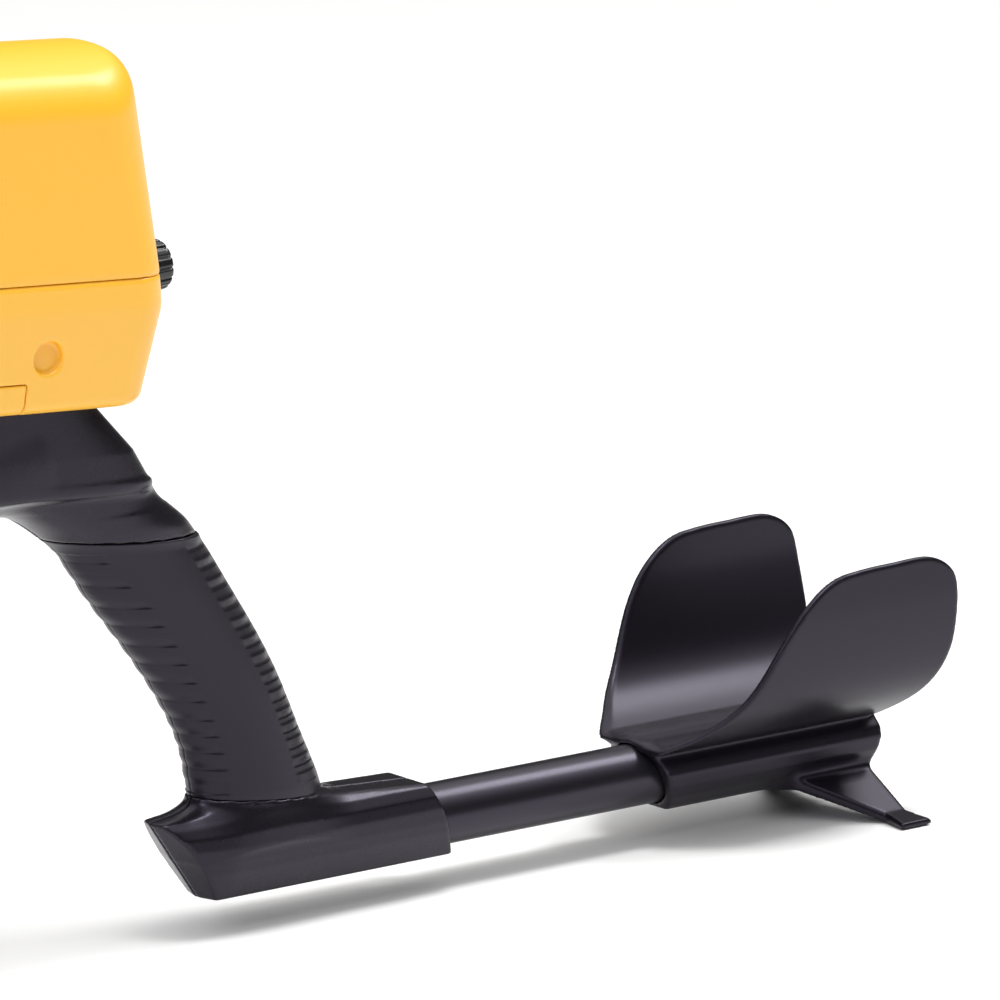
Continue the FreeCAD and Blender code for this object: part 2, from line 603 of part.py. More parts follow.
def make_electronics():
    """Circuit board, batteries, headphone jack and coil socket."""
    board = block((-104, -24, 26), (-28, 24, 27.6))
    save("circuit_board", placed(board, BOX_FRAME))
    parts = []
    for column in range(4):
        x = -96 + 17 * column
        parts.append(block((x, -20, 27.6), (x + 10, -13.5, 31)))
        parts.append(rod(3.2, V(x + 5, 6, 27.6), V(x + 5, 6, 39)))
        parts.append(block((x + 1, 16, 27.6), (x + 8, 19, 34)))
    save("board_parts", placed(Part.makeCompound(parts), BOX_FRAME))
    clips = []
    for name, side in (("battery_left", -1), ("battery_right", 1)):
        low_y = 3.2
        cell = block((-101.8, low_y, 2.6), (-55.6, low_y + 26, 20))
        posts = [rod(2.8, V(-55.6, low_y + y, 11), V(-53.6, low_y + y, 11)) for y in (6.6, 19.4)]
        cell = cell.fuse(posts)
        clip = block((-53.6, low_y + 1, 4), (-52.1, low_y + 25, 26))
        if side < 0:
            cell = cell.mirror(V(0, 0, 0), V(0, 1, 0))
            clip = clip.mirror(V(0, 0, 0), V(0, 1, 0))
        save(name, placed(cell, BOX_FRAME))
        clips.append(clip)
    save("battery_clips", placed(Part.makeCompound(clips), BOX_FRAME))

    x = SIDE_RECESS.x
    z = SIDE_RECESS.z
    jack = rod(JACK_BODY_R, V(x, 16, z), V(x, 33.6, z)).fuse(rod(RECESS_R - 0.2, V(x, 33.0, z), V(x, 34.4, z)))
    jack = jack.cut(rod(JACK_BORE_R, V(x, 18, z), V(x, 40, z)))
    save("headphone_jack", placed(jack, BOX_FRAME))

    socket = rod(SOCKET_R, V(-10, 0, 0), V(3, 0, 0)).cut(rod(5.6, V(-6, 0, 0), V(4, 0, 0)))
    pins = []
    for step in range(5):
        angle = math.radians(-90 + 45 * (step + 2))
        spot = V(-7, 3.4 * math.cos(angle), 3.4 * math.sin(angle))
        pins.append(rod(0.7, spot, spot + V(7, 0, 0)))
    socket = placed(socket.fuse(pins), SOCKET_LOCAL)
    save("coil_socket", placed(socket, BOX_FRAME))


# ---- stem ----

UPPER_STEM_END = 300.0       # along the stem from its start
LOWER_STEM_R = 9.5
STEM_LENGTH = (STEM_START.x - COIL_X) / math.cos(math.radians(STEM_PITCH))
LOWER_STEM_END = STEM_LENGTH - 32.0
BOLT_R = 3.2
TONGUE_HALF = 6.0


def make_stem_fittings():
    """Twist lock at the telescoping joint, and the clevis tongue at the coil."""
    end = UPPER_STEM_END
    bushing = pipe(13, TUBE_R, V(end - 20, 0, 0), V(end, 0, 0))
    bushing = bushing.fuse(pipe(13, LOWER_STEM_R + FIT, V(end, 0, 0), V(end + 12, 0, 0)))
    save("stem_bushing", placed(bushing, STEM_FRAME))
    collar = pipe(16.6, 13 + GAP, V(end - 12, 0, 0), V(end + 13, 0, 0))
    collar = collar.fuse(pipe(16.6, LOWER_STEM_R + GAP, V(end + 13, 0, 0), V(end + 24, 0, 0)))
    ribs = []
    for step in range(18):
        angle = 2 * math.pi * step / 18
        spot = V(end - 9, 17.3 * math.cos(angle), 17.3 * math.sin(angle))
        ribs.append(rod(1.5, spot, spot + V(28, 0, 0)))
    save("lock_collar", placed(collar.cut(ribs), STEM_FRAME))

    plug_end = LOWER_STEM_END
    plug = rod(LOWER_STEM_R - 1.2, V(plug_end - 40, 0, 0), V(plug_end, 0, 0))
    shoulder = rod(LOWER_STEM_R, V(plug_end, 0, 0), V(plug_end + 10, 0, 0))
    tongue = block((plug_end + 6, -TONGUE_HALF, -9), (STEM_LENGTH, TONGUE_HALF, 9))
    eye = rod(10, V(STEM_LENGTH, -TONGUE_HALF, 0), V(STEM_LENGTH, TONGUE_HALF, 0))
    clevis = plug.fuse([shoulder, tongue, eye])
    hole = rod(BOLT_R + FIT, V(STEM_LENGTH, -20, 0), V(STEM_LENGTH, 20, 0))
    save("stem_clevis", placed(clevis.cut(hole), STEM_FRAME))


# ---- search coil, drawn in its own frame with the floor at z = 0 ----

RING_INNER_R = 79.0
HUB_R = 44.0
SPOKE_W = 20.0
COIL_SPLIT_Z = 6.0
COIL_TOP_Z = 14.0
COIL_WALL = 2.0
EAR_IN_Y = 8.0
EAR_OUT_Y = 13.0


def coil_plan(inset, low, high):
    """Ring, hub and spokes seen from above, extruded between two heights."""
    solid = pipe(COIL_R - inset, RING_INNER_R + inset, V(0, 0, low), V(0, 0, high))
    pieces = [rod(HUB_R - inset, V(0, 0, low), V(0, 0, high))]
    for step in range(2):
        bar = block((-90, -SPOKE_W / 2 + inset, low), (90, SPOKE_W / 2 - inset, high))
        bar.rotate(V(0, 0, 0), V(0, 0, 1), 45 + 90 * step)
        pieces.append(bar)
    return solid.fuse(pieces)


def coil_ear(side):
    """Upright ear that holds the coil bolt."""
    outline = [(-22, COIL_TOP_Z - 1), (22, COIL_TOP_Z - 1), (9, PIVOT_HEIGHT), (-9, PIVOT_HEIGHT)]
    plate = prism_y(outline, (EAR_OUT_Y - EAR_IN_Y) / 2)
    plate = plate.fuse(rod(9.6, V(0, -2.5, PIVOT_HEIGHT), V(0, 2.5, PIVOT_HEIGHT)))
    plate.translate(V(0, side * (EAR_IN_Y + EAR_OUT_Y) / 2, 0))
    return plate


def make_coil():
    """Two shells round the windings, with ears, bolt, hand nut, washers and cable gland."""
    rest = placed(coil_plan(0, 0, COIL_SPLIT_Z), COIL_FRAME)
    tray = rest.cut(placed(coil_plan(COIL_WALL, COIL_WALL, COIL_SPLIT_Z), COIL_FRAME))
    save("coil_bottom", tray)

    gland_spot = V(20, 27, COIL_TOP_Z)
    bolt_line = rod(BOLT_R, V(0, -30, PIVOT_HEIGHT), V(0, 30, PIVOT_HEIGHT))
    lid = coil_plan(0, COIL_SPLIT_Z, COIL_TOP_Z)
    lid = lid.cut(coil_plan(COIL_WALL, COIL_SPLIT_Z, COIL_TOP_Z - COIL_WALL))
    lid = lid.fuse([coil_ear(-1), coil_ear(1)]).cut(bolt_line)
    lid = lid.cut(rod(5.0, gland_spot - V(0, 0, 5), gland_spot + V(0, 0, 5)))
    save("coil_top", placed(lid, COIL_FRAME))

    gland = rod(5.0, gland_spot - V(0, 0, COIL_WALL), gland_spot)
    gland = gland.fuse([rod(7.5, gland_spot, gland_spot + V(0, 0, 4)),
                        Part.makeCone(6.2, 4.2, 9, gland_spot + V(0, 0, 4), V(0, 0, 1))])
    gland = gland.cut(rod(2.6, gland_spot - V(0, 0, 5), gland_spot + V(0, 0, 20)))
    save("coil_gland", placed(gland, COIL_FRAME))

    low = 3.0
    high = 10.0
    save("transmit_winding", placed(pipe(95, 86, V(0, 0, low), V(0, 0, high)), COIL_FRAME))
    save("receive_winding", placed(pipe(40, 32, V(0, 0, low), V(0, 0, high)), COIL_FRAME))

    bolt = screw(V(0, -EAR_OUT_Y - 4.2, PIVOT_HEIGHT), V(0, 1, 0), 2 * EAR_OUT_Y + 13.5, 6.5, BOLT_R, 4.2)
    save("coil_bolt", placed(bolt, COIL_FRAME))
    washers = []
    for side in (-1, 1):
        start = V(0, side * (TONGUE_HALF + GAP), PIVOT_HEIGHT)
        washers.append(pipe(9.2, BOLT_R, start, V(0, side * EAR_IN_Y, PIVOT_HEIGHT)))
    save("friction_washers", placed(Part.makeCompound(washers), COIL_FRAME))

    nut_start = V(0, EAR_OUT_Y + GAP, PIVOT_HEIGHT)
    nut = rod(10.5, nut_start, nut_start + V(0, 9, 0))
    notches = []
    for step in range(6):
        angle = 2 * math.pi * step / 6
        spot = nut_start + V(12.2 * math.cos(angle), -1, 12.2 * math.sin(angle))
        notches.append(rod(3.2, spot, spot + V(0, 12, 0)))
    nut = nut.cut(notches).cut(rod(BOLT_R + FIT, nut_start - V(0, 1, 0), nut_start + V(0, 20, 0)))
    save("coil_hand_nut", placed(nut, COIL_FRAME))


os.makedirs("parts", exist_ok=True)
make_handle()
make_tubes()
make_cuff()
make_housing()
make_panel()
make_controls()
make_meter()
make_speaker()
make_electronics()
make_stem_fittings()
make_coil()
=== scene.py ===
"""Looks of the hand-held metal detector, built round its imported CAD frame.

Moulded pieces are drawn as distance fields in millimetres and skinned by surface nets. Turned pieces
are swept profiles. The tube frame has its origin on the arm tube's axis, +X rearward and +Z up.
"""

import json
import math

import bpy
import numpy as np
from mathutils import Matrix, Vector


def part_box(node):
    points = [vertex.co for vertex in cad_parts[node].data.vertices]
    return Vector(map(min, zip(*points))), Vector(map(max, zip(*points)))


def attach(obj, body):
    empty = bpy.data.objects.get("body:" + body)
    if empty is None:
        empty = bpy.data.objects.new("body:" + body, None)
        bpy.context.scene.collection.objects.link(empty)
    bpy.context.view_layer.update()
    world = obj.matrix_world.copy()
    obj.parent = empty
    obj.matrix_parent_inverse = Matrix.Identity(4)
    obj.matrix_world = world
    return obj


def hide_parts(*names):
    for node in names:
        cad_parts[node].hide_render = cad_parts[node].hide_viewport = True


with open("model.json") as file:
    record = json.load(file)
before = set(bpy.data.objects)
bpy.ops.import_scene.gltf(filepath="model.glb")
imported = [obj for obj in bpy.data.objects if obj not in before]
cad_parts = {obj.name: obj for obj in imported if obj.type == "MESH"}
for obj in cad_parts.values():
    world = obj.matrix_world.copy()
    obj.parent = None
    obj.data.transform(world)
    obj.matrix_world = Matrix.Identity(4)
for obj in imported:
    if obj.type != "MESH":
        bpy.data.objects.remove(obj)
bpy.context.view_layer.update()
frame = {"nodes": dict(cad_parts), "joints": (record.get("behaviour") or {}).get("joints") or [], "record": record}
record = frame["record"]
joints = {j["name"]: j for j in frame["joints"]}
tube_low, tube_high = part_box("arm_tube")

# ---- frames: a rotation and an origin, mm, in the tube frame ----

TUBE_R = (tube_high.y - tube_low.y) * 500
TUBE_FRONT_X = -70.0
TUBE_BORE_R = 11.15
ORIGIN = np.array([tube_low.x * 1000 - TUBE_FRONT_X, 0.0, (tube_low.z + tube_high.z) * 500])
FLOOR_Z = -ORIGIN[2]
BOX_PITCH = 3.3
PANEL_LEAN = 6.2
FRONT_LEAN = 13.6
STEM_PITCH = 14.3


def turn_y(degrees):
    a = math.radians(degrees)
    return np.array([[math.cos(a), 0, math.sin(a)], [0, 1, 0], [-math.sin(a), 0, math.cos(a)]])


def inner_frame(outer, spot, degrees):
    """A frame placed in another frame and turned about Y."""
    return outer[0] @ turn_y(degrees), outer[0] @ np.array(spot, float) + outer[1]


TUBE = (np.eye(3), np.zeros(3))
BOX = inner_frame(TUBE, (-129, 0, 167), BOX_PITCH)
PANEL = inner_frame(BOX, (3.5, 0, 40.7), -PANEL_LEAN)
FRONT = inner_frame(BOX, (-117.1, 0, 78), FRONT_LEAN - 180)
STEM = inner_frame(TUBE, (-170, 0, 147), 180 - STEM_PITCH)
COIL = (np.eye(3), np.array([joints["coil_tilt"]["pos_m"][0] * 1000 - ORIGIN[0], 0, FLOOR_Z]))
PIVOT_Z = joints["coil_tilt"]["pos_m"][2] * 1000
STEM_LENGTH = float(np.linalg.norm(COIL[1] + [0, 0, PIVOT_Z] - STEM[1]))


def local(x, y, z, outer, inner):
    """Coordinates in one frame, from coordinates in another."""
    m = inner[0].T @ outer[0]
    t = inner[0].T @ (outer[1] - inner[1])
    return [m[i, 0] * x + m[i, 1] * y + m[i, 2] * z + t[i] for i in range(3)]


# ---- materials ----

def material(name, colour, rough, metal=0.0, grain=900.0, bump=0.02, spread=0.05, alpha=1.0, gloss=0.5,
             sheen=(1.0, 1.0, 1.0)):
    """Procedural finish: fine noise varies the roughness and gives a slight surface grain."""
    m = bpy.data.materials.new(name)
    m.use_nodes = True
    tree = m.node_tree
    shader = tree.nodes["Principled BSDF"]
    shader.inputs["Base Color"].default_value = (*colour, 1)
    shader.inputs["Metallic"].default_value = metal
    shader.inputs["Specular IOR Level"].default_value = gloss
    shader.inputs["Specular Tint"].default_value = (*sheen, 1)
    shader.inputs["Alpha"].default_value = alpha
    where = tree.nodes.new("ShaderNodeTexCoord")
    noise = tree.nodes.new("ShaderNodeTexNoise")
    noise.inputs["Scale"].default_value = grain
    noise.inputs["Detail"].default_value = 3
    tree.links.new(where.outputs["Object"], noise.inputs["Vector"])
    ramp = tree.nodes.new("ShaderNodeMapRange")
    ramp.inputs["To Min"].default_value = max(rough - spread, 0.03)
    ramp.inputs["To Max"].default_value = rough + spread
    tree.links.new(noise.outputs["Fac"], ramp.inputs["Value"])
    tree.links.new(ramp.outputs["Result"], shader.inputs["Roughness"])
    if bump:
        relief = tree.nodes.new("ShaderNodeBump")
        relief.inputs["Strength"].default_value = bump
        relief.inputs["Distance"].default_value = 0.0003
        tree.links.new(noise.outputs["Fac"], relief.inputs["Height"])
        tree.links.new(relief.outputs["Normal"], shader.inputs["Normal"])
    return m


VIOLET = (0.82, 0.74, 1.0)
BLACK_SHELL = (0.0075, 0.0065, 0.0085)
BLACK_TUBE = (0.008, 0.0075, 0.0092)

MATERIALS = {
    "black_shell": material("black moulding", BLACK_SHELL, 0.29, bump=0.015, gloss=0.38, sheen=VIOLET),
    "black_grip": material("black grip", (0.0085, 0.0075, 0.0095), 0.36, bump=0.03, gloss=0.36, sheen=VIOLET),
    "black_cuff": material("black cuff", (0.0065, 0.0055, 0.0078), 0.33, bump=0.03, gloss=0.36, sheen=VIOLET),
    "black_tube": material("black tube", BLACK_TUBE, 0.30, grain=1500, bump=0.02, sheen=VIOLET),
    "stem_tube": material("black stem", BLACK_TUBE, 0.30, grain=1500, bump=0.02, sheen=VIOLET),
    "yellow_shell": material("yellow moulding", (0.95, 0.49, 0.024), 0.36, bump=0.02, gloss=0.8),
    "panel_black": material("black panel", (0.03, 0.03, 0.031), 0.5),
    "knob_black": material("gloss black", (0.012, 0.012, 0.014), 0.16, bump=0.0, spread=0.03),
    "steel": material("zinc plate", (0.60, 0.60, 0.61), 0.32, metal=1.0),
    "pot_metal": material("pressed steel", (0.52, 0.52, 0.53), 0.38, metal=1.0),
    "meter_black": material("meter case", (0.02, 0.02, 0.021), 0.25, bump=0.0),
    "meter_glass": material("clear window", (0.95, 0.97, 0.97), 0.06, bump=0.0, spread=0.02, alpha=0.16),
    "meter_face": material("dial face", (0.86, 0.84, 0.76), 0.6, bump=0.0),
    "needle_red": material("needle paint", (0.55, 0.03, 0.015), 0.4, bump=0.0),
    "speaker_metal": material("speaker basket", (0.05, 0.05, 0.055), 0.45, metal=0.6),
    "speaker_paper": material("speaker cone", (0.03, 0.03, 0.03), 0.8, grain=500, bump=0.2),
    "magnet": material("ferrite", (0.06, 0.06, 0.065), 0.6),
    "board_green": material("circuit board", (0.02, 0.12, 0.04), 0.45),
    "board_parts": material("components", (0.03, 0.03, 0.035), 0.45),
    "battery": material("battery sleeve", (0.05, 0.055, 0.07), 0.35, metal=0.5),
    "spring_metal": material("plated spring", (0.66, 0.63, 0.55), 0.3, metal=1.0),
    "jack_metal": material("plated socket", (0.42, 0.42, 0.43), 0.3, metal=1.0),
    "socket_black": material("black socket", (0.02, 0.02, 0.021), 0.3),
    "bushing": material("nylon", (0.022, 0.022, 0.024), 0.48),
    "lever_black": material("collar moulding", (0.016, 0.015, 0.018), 0.42, bump=0.04),
    "coil_black": material("coil moulding", (0.017, 0.016, 0.019), 0.44, grain=700, bump=0.06),
    "copper": material("copper winding", (0.65, 0.25, 0.10), 0.35, metal=1.0),
    "washer": material("rubber washer", (0.02, 0.02, 0.02), 0.7),
    "nylon_bolt": material("black nylon", (0.018, 0.018, 0.02), 0.4),
}
node_slots = {s["node"]: s["material_slot"] for s in record["subparts"]}
for node, obj in frame["nodes"].items():
    obj.data.materials.clear()
    obj.data.materials.append(MATERIALS[node_slots[node]])


# ---- meshes ----

def add_piece(name, points, faces, place, body, stands_for):
    """Mesh from points in a frame, in mm, that replaces CAD nodes and rides on a body."""
    moved = (points @ place[0].T + place[1] + ORIGIN) / 1000
    mesh = bpy.data.meshes.new(name)
    mesh.from_pydata(moved.tolist(), [], faces)
    mesh.polygons.foreach_set("use_smooth", [True] * len(mesh.polygons))
    slot = node_slots[stands_for[0]]
    mesh.materials.append(MATERIALS[slot])
    obj = bpy.data.objects.new(name, mesh)
    bpy.context.scene.collection.objects.link(obj)
    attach(obj, body)
    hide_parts(*stands_for)
    return obj


def skin(field, low, high, step):
    """Points and quads on the zero surface of a field(x, y, z), by surface nets."""
    axes = [np.arange(a, b + step, step) for a, b in zip(low, high)]
    x = axes[0][:, None, None]
    y = axes[1][None, :, None]
    z = axes[2][None, None, :]
    f = np.broadcast_to(field(x, y, z), [len(a) for a in axes]).astype(np.float32)
    inside = f < 0
    n = [k - 1 for k in f.shape]

    def corner(grid, c):
        return grid[c[0]:c[0] + n[0], c[1]:c[1] + n[1], c[2]:c[2] + n[2]]

    corners = [(i, j, k) for i in (0, 1) for j in (0, 1) for k in (0, 1)]
    count = sum(corner(inside, c).astype(np.int8) for c in corners)
    cells = np.argwhere((count > 0) & (count < 8))
    index = np.full(n, -1, np.int64)
    index[tuple(cells.T)] = np.arange(len(cells))
    total = np.zeros((len(cells), 3))
    hits = np.zeros(len(cells))
    for c in corners:
        for axis in range(3):
            if c[axis]:
                continue
            d = list(c)
            d[axis] = 1
            fa = f[tuple((cells + c).T)]
            fb = f[tuple((cells + d).T)]
            cross = (fa < 0) != (fb < 0)
            t = np.where(cross, fa / np.where(cross, fa - fb, 1), 0)
            spot = np.tile(np.array(c, float), (len(cells), 1))
            spot[:, axis] += t
            total += spot * cross[:, None]
            hits += cross
    points = np.array(low) + (cells + total / hits[:, None]) * step
    quads = []
    for axis in range(3):
        u, v = (axis + 1) % 3, (axis + 2) % 3
        near = [slice(None)] * 3
        far = [slice(None)] * 3
        near[axis], far[axis] = slice(0, -1), slice(1, None)
        change = inside[tuple(near)] != inside[tuple(far)]
        edges = np.argwhere(change)
        edges = edges[(edges[:, u] > 0) & (edges[:, v] > 0) & (edges[:, u] < n[u]) & (edges[:, v] < n[v])]
        loop = []
        for du, dv in ((-1, -1), (0, -1), (0, 0), (-1, 0)):
            e = edges.copy()
            e[:, u] += du
            e[:, v] += dv
            loop.append(index[tuple(e.T)])
        quad = np.stack(loop, 1)
        start_inside = inside[tuple(edges.T)]
        quad[~start_inside] = quad[~start_inside][:, ::-1]
        quads.append(quad)
    return points, np.concatenate(quads).tolist()


def grid_faces(rows, columns, around=True):
    """Quads of a grid of points stored row by row, closed round each row."""
    faces = []
    last = columns if around else columns - 1
    for i in range(rows - 1):
        for j in range(last):
            k = (j + 1) % columns
            faces.append((i * columns + j, i * columns + k, (i + 1) * columns + k, (i + 1) * columns + j))
    return faces


def turned(profile, columns=128, modulate=None):
    """Points and faces of a closed (along, radius) profile swept round the local X axis."""
    angles = np.arange(columns) * 2 * math.pi / columns
    rows = []
    for s, r in list(profile) + [profile[0]]:
        radius = r * np.ones(columns) if modulate is None else modulate(s, r, angles)
        rows.append(np.stack([np.full(columns, s), radius * np.cos(angles), radius * np.sin(angles)], 1))
    return np.concatenate(rows), grid_faces(len(rows), columns)


def rounded_profile(corners, radius, steps=5):
    """Profile with each corner replaced by a small arc; the radius is cut to fit short sides."""
    corners = [np.array(c, float) for c in corners]
    points = []
    for i, c in enumerate(corners):
        before = corners[i - 1] - c
        after = corners[(i + 1) % len(corners)] - c
        reach = min(radius, np.linalg.norm(before) * 0.45, np.linalg.norm(after) * 0.45)
        a = c + before / np.linalg.norm(before) * reach
        b = c + after / np.linalg.norm(after) * reach
        for k in range(steps + 1):
            t = k / steps
            points.append((1 - t) ** 2 * a + 2 * t * (1 - t) * c + t * t * b)
    return [tuple(p) for p in points]


# ---- distance fields, mm ----

def smooth_union(a, b, k):
    h = np.clip(0.5 + 0.5 * (b - a) / k, 0, 1)
    return b * (1 - h) + a * h - k * h * (1 - h)


def meet(a, b, r):
    """Intersection with its edge rounded."""
    u = a + r
    v = b + r
    return np.hypot(np.maximum(u, 0), np.maximum(v, 0)) + np.minimum(np.maximum(u, v), 0) - r


def cut(a, b, r):
    """A with B taken out, the edge rounded."""
    return meet(a, -b, r)


def spline(knots, values, at):
    """Natural cubic spline through values at knots."""
    x = np.asarray(knots, float)
    y = np.asarray(values, float)
    n = len(x)
    h = np.diff(x)
    m = np.zeros((n, n))
    r = np.zeros(n)
    m[0, 0] = m[-1, -1] = 1
    for i in range(1, n - 1):
        m[i, i - 1], m[i, i], m[i, i + 1] = h[i - 1], 2 * (h[i - 1] + h[i]), h[i]
        r[i] = 6 * ((y[i + 1] - y[i]) / h[i] - (y[i] - y[i - 1]) / h[i - 1])
    c = np.linalg.solve(m, r)
    at = np.clip(at, x[0], x[-1])
    i = np.clip(np.searchsorted(x, at) - 1, 0, n - 2)
    a = (x[i + 1] - at) / h[i]
    b = (at - x[i]) / h[i]
    return a * y[i] + b * y[i + 1] + ((a ** 3 - a) * c[i] + (b ** 3 - b) * c[i + 1]) * h[i] ** 2 / 6


def oval_field(x, y, centre, a, b, power=2.0):
    """About the distance to an oval in the horizontal plane; higher powers are squarer."""
    u = np.abs(x - centre) / a + 1e-4
    v = np.abs(y) / b + 1e-4
    k = (u ** power + v ** power) ** (1 / power)
    return (k - 1) / np.hypot((u / k) ** (power - 1) / a, (v / k) ** (power - 1) / b)


def outline_field(u, v, points):
    """Signed distance to a closed polygon, for grids of u and v."""
    p = np.array(points, float)
    q = np.roll(p, -1, 0)
    best = None
    wind = 0
    for (ax, ay), (bx, by) in zip(p, q):
        dx, dy = bx - ax, by - ay
        t = np.clip(((u - ax) * dx + (v - ay) * dy) / (dx * dx + dy * dy + 1e-12), 0, 1)
        d = np.hypot(u - ax - t * dx, v - ay - t * dy)
        best = d if best is None else np.minimum(best, d)
        crosses = ((ay <= v) != (by <= v)) & (u < ax + (v - ay) / (dy if dy else 1e-12) * dx)
        wind = wind ^ crosses
    return np.where(wind, -best, best)


def eased(points, per_side=6):
    """Open line smoothed by a Catmull-Rom curve through its points."""
    p = np.array([points[0], *points, points[-1]], float)
    out = []
    for a, b, c, d in zip(p, p[1:], p[2:], p[3:]):
        for k in range(per_side):
            t = k / per_side
            out.append(0.5 * (2 * b + (c - a) * t + (2 * a - 5 * b + 4 * c - d) * t ** 2
                              + (3 * b - a - 3 * c + d) * t ** 3))
    return out + [p[-1]]


def block_field(x, y, z, low, high):
    """Distance to a box."""
    q = [np.abs(p - (a + b) / 2) - (b - a) / 2 for p, a, b in zip((x, y, z), low, high)]
    outer = np.sqrt(sum(np.maximum(k, 0) ** 2 for k in q))
    return outer + np.minimum(np.maximum(np.maximum(q[0], q[1]), q[2]), 0)


# ---- handle ----

# Sections by height: middle x, half length, half width and, for the last two, squareness.
GRIP = np.array([(6, -64.0, 28.5, 14.2), (23, -66.5, 25.8, 14.6), (40, -71.9, 23.4, 14.9),
                 (60, -81.6, 24.2, 15.2), (80, -94.5, 25.9, 15.5), (100, -108.7, 27.2, 15.8),
                 (118, -122.6, 27.6, 16.2), (128, -135.0, 28.6, 17.2)])
NECK = np.array([(108, -114.5, 27.2, 15.8, 2.0), (115.5, -120.9, 27.6, 16.2, 2.0),
                 (119, -123.7, 28.6, 17.2, 2.0), (124, -130.0, 29.9, 17.6, 2.2),
                 (132, -142.3, 33.1, 17.9, 2.6), (140, -152.5, 38.0, 18.4, 3.2)])
PLATFORM = np.array([(136, -166.6, 51.2, 19.8, 4.0), (138.8, -166.9, 52.4, 20.4, 4.0),
                     (150, -169.9, 48.2, 20.3, 4.0), (169.5, -177.8, 36.7, 19.6, 4.0)])
KEEL_HALF = [(0, 17.9), (4.5, 17.6), (8.6, 16.3), (11.8, 13.9), (14.1, 10.6), (15.0, 5.9), (14.6, 1.5),
             (13.2, -2.6), (11.2, -6.6), (9.0, -11.0), (8.0, -12.7)]
RIB_FRONT = [27, 33, 39, 45, 51, 58, 65, 72, 79, 86.5, 93.5, 101.5, 110.5]
RIB_REAR = [27, 33, 39.5, 45, 50, 57, 63.5, 70.5, 77, 84, 91.5, 99, 106.5, 113.0]


def ring_low(x):
    return 20.0 - 0.097 * (x + 64)


def ring_top(x):
    return 116.5 - 0.076 * (x + 122)


def grip_section(z):
    return [spline(GRIP[:, 0], GRIP[:, i], z) for i in (1, 2, 3)]


def base_field(x, y, z):
    """Keel with a V prow and a slanted rear."""
    narrow = 1 - 0.40 * np.clip((-82 - x) / 26, 0, 1) ** 1.5
    outline = [(p[0], p[1]) for p in KEEL_HALF] + [(-p[0], p[1]) for p in KEEL_HALF[:0:-1]]
    ys = np.arange(-45, 45.01, 0.4)
    zs = np.arange(-20, 32, 0.4)
    table = outline_field(ys[:, None], zs[None, :], outline)
    wide = (y / narrow + 45) / 0.4
    i = np.clip(wide.astype(int), 0, len(ys) - 2)
    high = (z + 20) / 0.4
    j = np.clip(high.astype(int), 0, len(zs) - 2)
    a = np.clip(wide - i, 0, 1)
    b = np.clip(high - j, 0, 1)
    keel = (table[i, j] * (1 - a) * (1 - b) + table[i + 1, j] * a * (1 - b)
            + table[i, j + 1] * (1 - a) * b + table[i + 1, j + 1] * a * b)
    top = z - np.interp(x, [-112, -96, -30, -17, 0, 14], [15.6, 17.9, 16.4, 15.6, 14.7, 14.7])
    rear = (x * 27.4 + (z - 14.7) * 13) / math.hypot(27.4, 13)
    f = meet(meet(keel, top, 1.0), rear, 1.0)
    for side in (-1, 1):
        slope = ((x + 99.4) * -0.825 + (z - 1) * -0.564 + side * y * 0.25) / 1.03
        f = meet(f, slope, 0.7)
    return f


def handle_field(x, y, z):
    """Both halves as one form, hollow for the arm tube and the stem."""
    centre, a, b = grip_section(z)
    zone = np.minimum(z - ring_low(x), ring_top(x) - z)
    column = oval_field(x, y, centre, a, b) * 0.8 + 1.7 * np.clip(zone / 0.5 + 0.5, 0, 1)
    column = np.maximum(column, np.maximum(8 - z, z - 126))
    f = smooth_union(base_field(x, y, z), column, 8)
    h = z + (x + 140) * math.tan(math.radians(BOX_PITCH)) * np.clip((z - 116) / 14, 0, 1)
    neck = oval_field(x, y, *[spline(NECK[:, 0], NECK[:, i], h) for i in (1, 2, 3, 4)]) * 0.75
    neck = np.maximum(neck, np.maximum(ring_top(x) + 0.3 - z, h - 137.6))
    f = smooth_union(f, neck, 1.5)
    h = z + (x + 168) * math.tan(math.radians(BOX_PITCH))
    block = oval_field(x, y, *[np.interp(h, PLATFORM[:, 0], PLATFORM[:, i]) for i in (1, 2, 3, 4)]) * 0.8
    bz = local(x, y, z, TUBE, BOX)[2]
    block = meet(meet(block, 136.4 - h, 1.6), bz + 1.02, 0.3)
    f = smooth_union(f, block, 2.5)
    s, t, u = local(x, y, z, TUBE, STEM)
    round_stem = np.hypot(t, u)
    nose = meet(meet(round_stem - 16.5, s - 83, 1.5), -6 - s, 1.0)
    f = smooth_union(f, nose, 7)
    f = cut(f, np.maximum(round_stem - TUBE_BORE_R, 14 - s), 0.4)
    tube = np.maximum(np.hypot(y, z) - TUBE_BORE_R, TUBE_FRONT_X - x)
    return cut(f, tube, 0.5)


def half_handle(side):
    return lambda x, y, z: meet(handle_field(x, y, z), 0.12 - side * y, 0.25)


HANDLE_STEP = 0.7
for side, node in ((-1, "handle_left"), (1, "handle_right")):
    low = (-260, -22.4, -14.1) if side < 0 else (-260, -0.9, -14.1)
    high = (16, 0.9, 172) if side < 0 else (16, 22.4, 172)
    points, faces = skin(half_handle(side), low, high, HANDLE_STEP)
    add_piece(node + "_moulding", points, faces, TUBE, "frame", [node])


